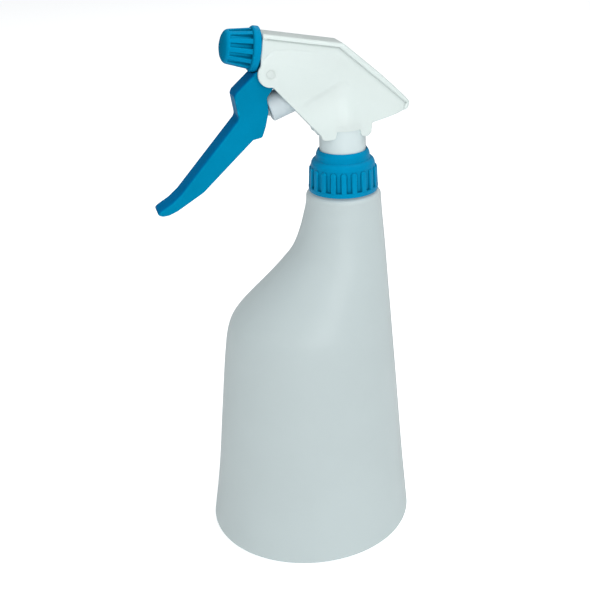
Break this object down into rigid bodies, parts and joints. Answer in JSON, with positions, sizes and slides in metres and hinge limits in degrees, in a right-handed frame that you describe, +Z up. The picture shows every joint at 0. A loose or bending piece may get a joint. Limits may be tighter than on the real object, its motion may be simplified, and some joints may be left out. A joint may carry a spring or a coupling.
{
  "type": "spray bottle",
  "caption": "Trigger spray bottle: tapered oval bottle with an offset screw neck, ribbed closure, hooded pump head, long pull trigger and twist nozzle.",
  "frame": {"origin": "middle of the bounding box's lower face, on the surface the bottle stands on; the neck axis is at x = 0.02715, y = 0", "axes": "+Z up along the neck axis, -X towards the nozzle and trigger, XZ is the plane of symmetry"},
  "size_m": [0.1192, 0.0938, 0.254],
  "materials": {
    "natural_bottle": "milky natural polyethylene, satin, blow moulded",
    "blue_plastic": "blue polypropylene, semi-gloss, injection moulded",
    "white_plastic": "white polypropylene, semi-gloss, injection moulded",
    "white_body_plastic": "cool white polypropylene, satin, injection moulded",
    "grey_plastic": "light grey acetal, satin",
    "seal_plastic": "soft natural polyethylene",
    "gasket_foam": "white foamed polyethylene liner",
    "natural_plastic": "natural polypropylene, translucent, smooth",
    "strainer_plastic": "natural polyethylene",
    "spring_steel": "drawn stainless spring wire",
    "ball_steel": "polished stainless ball",
    "black_rubber": "black nitrile"
  },
  "bodies": {
    "bottle": {"bottle": "natural_bottle"},
    "gasket": {"neck_gasket": "gasket_foam"},
    "closure": {"closure": "blue_plastic"},
    "pump": {"pump_body": "white_body_plastic", "shroud": "white_plastic", "tube_holder": "natural_plastic", "dip_tube": "natural_plastic", "tube_strainer": "strainer_plastic", "swirl_insert": "natural_plastic", "return_spring": "spring_steel", "outlet_spring": "spring_steel"},
    "trigger": {"trigger": "blue_plastic"},
    "piston": {"piston": "white_body_plastic", "piston_rod": "grey_plastic", "piston_seal": "seal_plastic", "vent_seal": "seal_plastic"},
    "nozzle_slide": {"nozzle_seal": "black_rubber"},
    "nozzle": {"nozzle_cap": "blue_plastic"},
    "inlet_ball": {"inlet_ball": "ball_steel"},
    "outlet_ball": {"outlet_ball": "ball_steel"}
  },
  "joints": [
    {"name": "head_rise", "type": "slide", "parent": "bottle", "child": "gasket", "axis": [0, 0, 1], "range_m": [0, 0.00529]},
    {"name": "closure_turn", "type": "hinge", "parent": "gasket", "child": "closure", "pos_m": [0.02715, 0, 0.186], "axis": [0, 0, 1], "range_deg": [0, 450]},
    {"name": "head_swivel", "type": "hinge", "parent": "gasket", "child": "pump", "pos_m": [0.02715, 0, 0.192], "axis": [0, 0, 1], "continuous": true},
    {"name": "trigger_pull", "type": "hinge", "parent": "pump", "child": "trigger", "pos_m": [-0.00685, 0, 0.2344], "axis": [0, -1, 0], "range_deg": [0, 25], "stiffness_Nm_per_rad": 0.15},
    {"name": "piston_stroke", "type": "slide", "parent": "pump", "child": "piston", "axis": [0.9397, 0, 0.342], "range_m": [0, 0.0076], "deforming": ["return_spring"]},
    {"name": "nozzle_travel", "type": "slide", "parent": "pump", "child": "nozzle_slide", "axis": [-0.9848, 0, 0.1736], "range_m": [0, 0.00251]},
    {"name": "nozzle_turn", "type": "hinge", "parent": "nozzle_slide", "child": "nozzle", "pos_m": [-0.01055, 0, 0.244], "axis": [-0.9848, 0, 0.1736], "range_deg": [0, 360]},
    {"name": "inlet_lift", "type": "slide", "parent": "pump", "child": "inlet_ball", "axis": [0, 0, 1], "range_m": [0, 0.0012]},
    {"name": "outlet_lift", "type": "slide", "parent": "pump", "child": "outlet_ball", "axis": [-0.9848, 0, 0.1736], "range_m": [0, 0.001], "deforming": ["outlet_spring"]}
  ],
  "couplings": [
    {"joint": "closure_turn", "follows": "head_rise", "rad_per_m": 1484.3},
    {"joint": "piston_stroke", "follows": "trigger_pull", "m_per_rad": 0.01735},
    {"joint": "nozzle_travel", "follows": "nozzle_turn", "m_per_rad": 0.00039789}
  ]
}
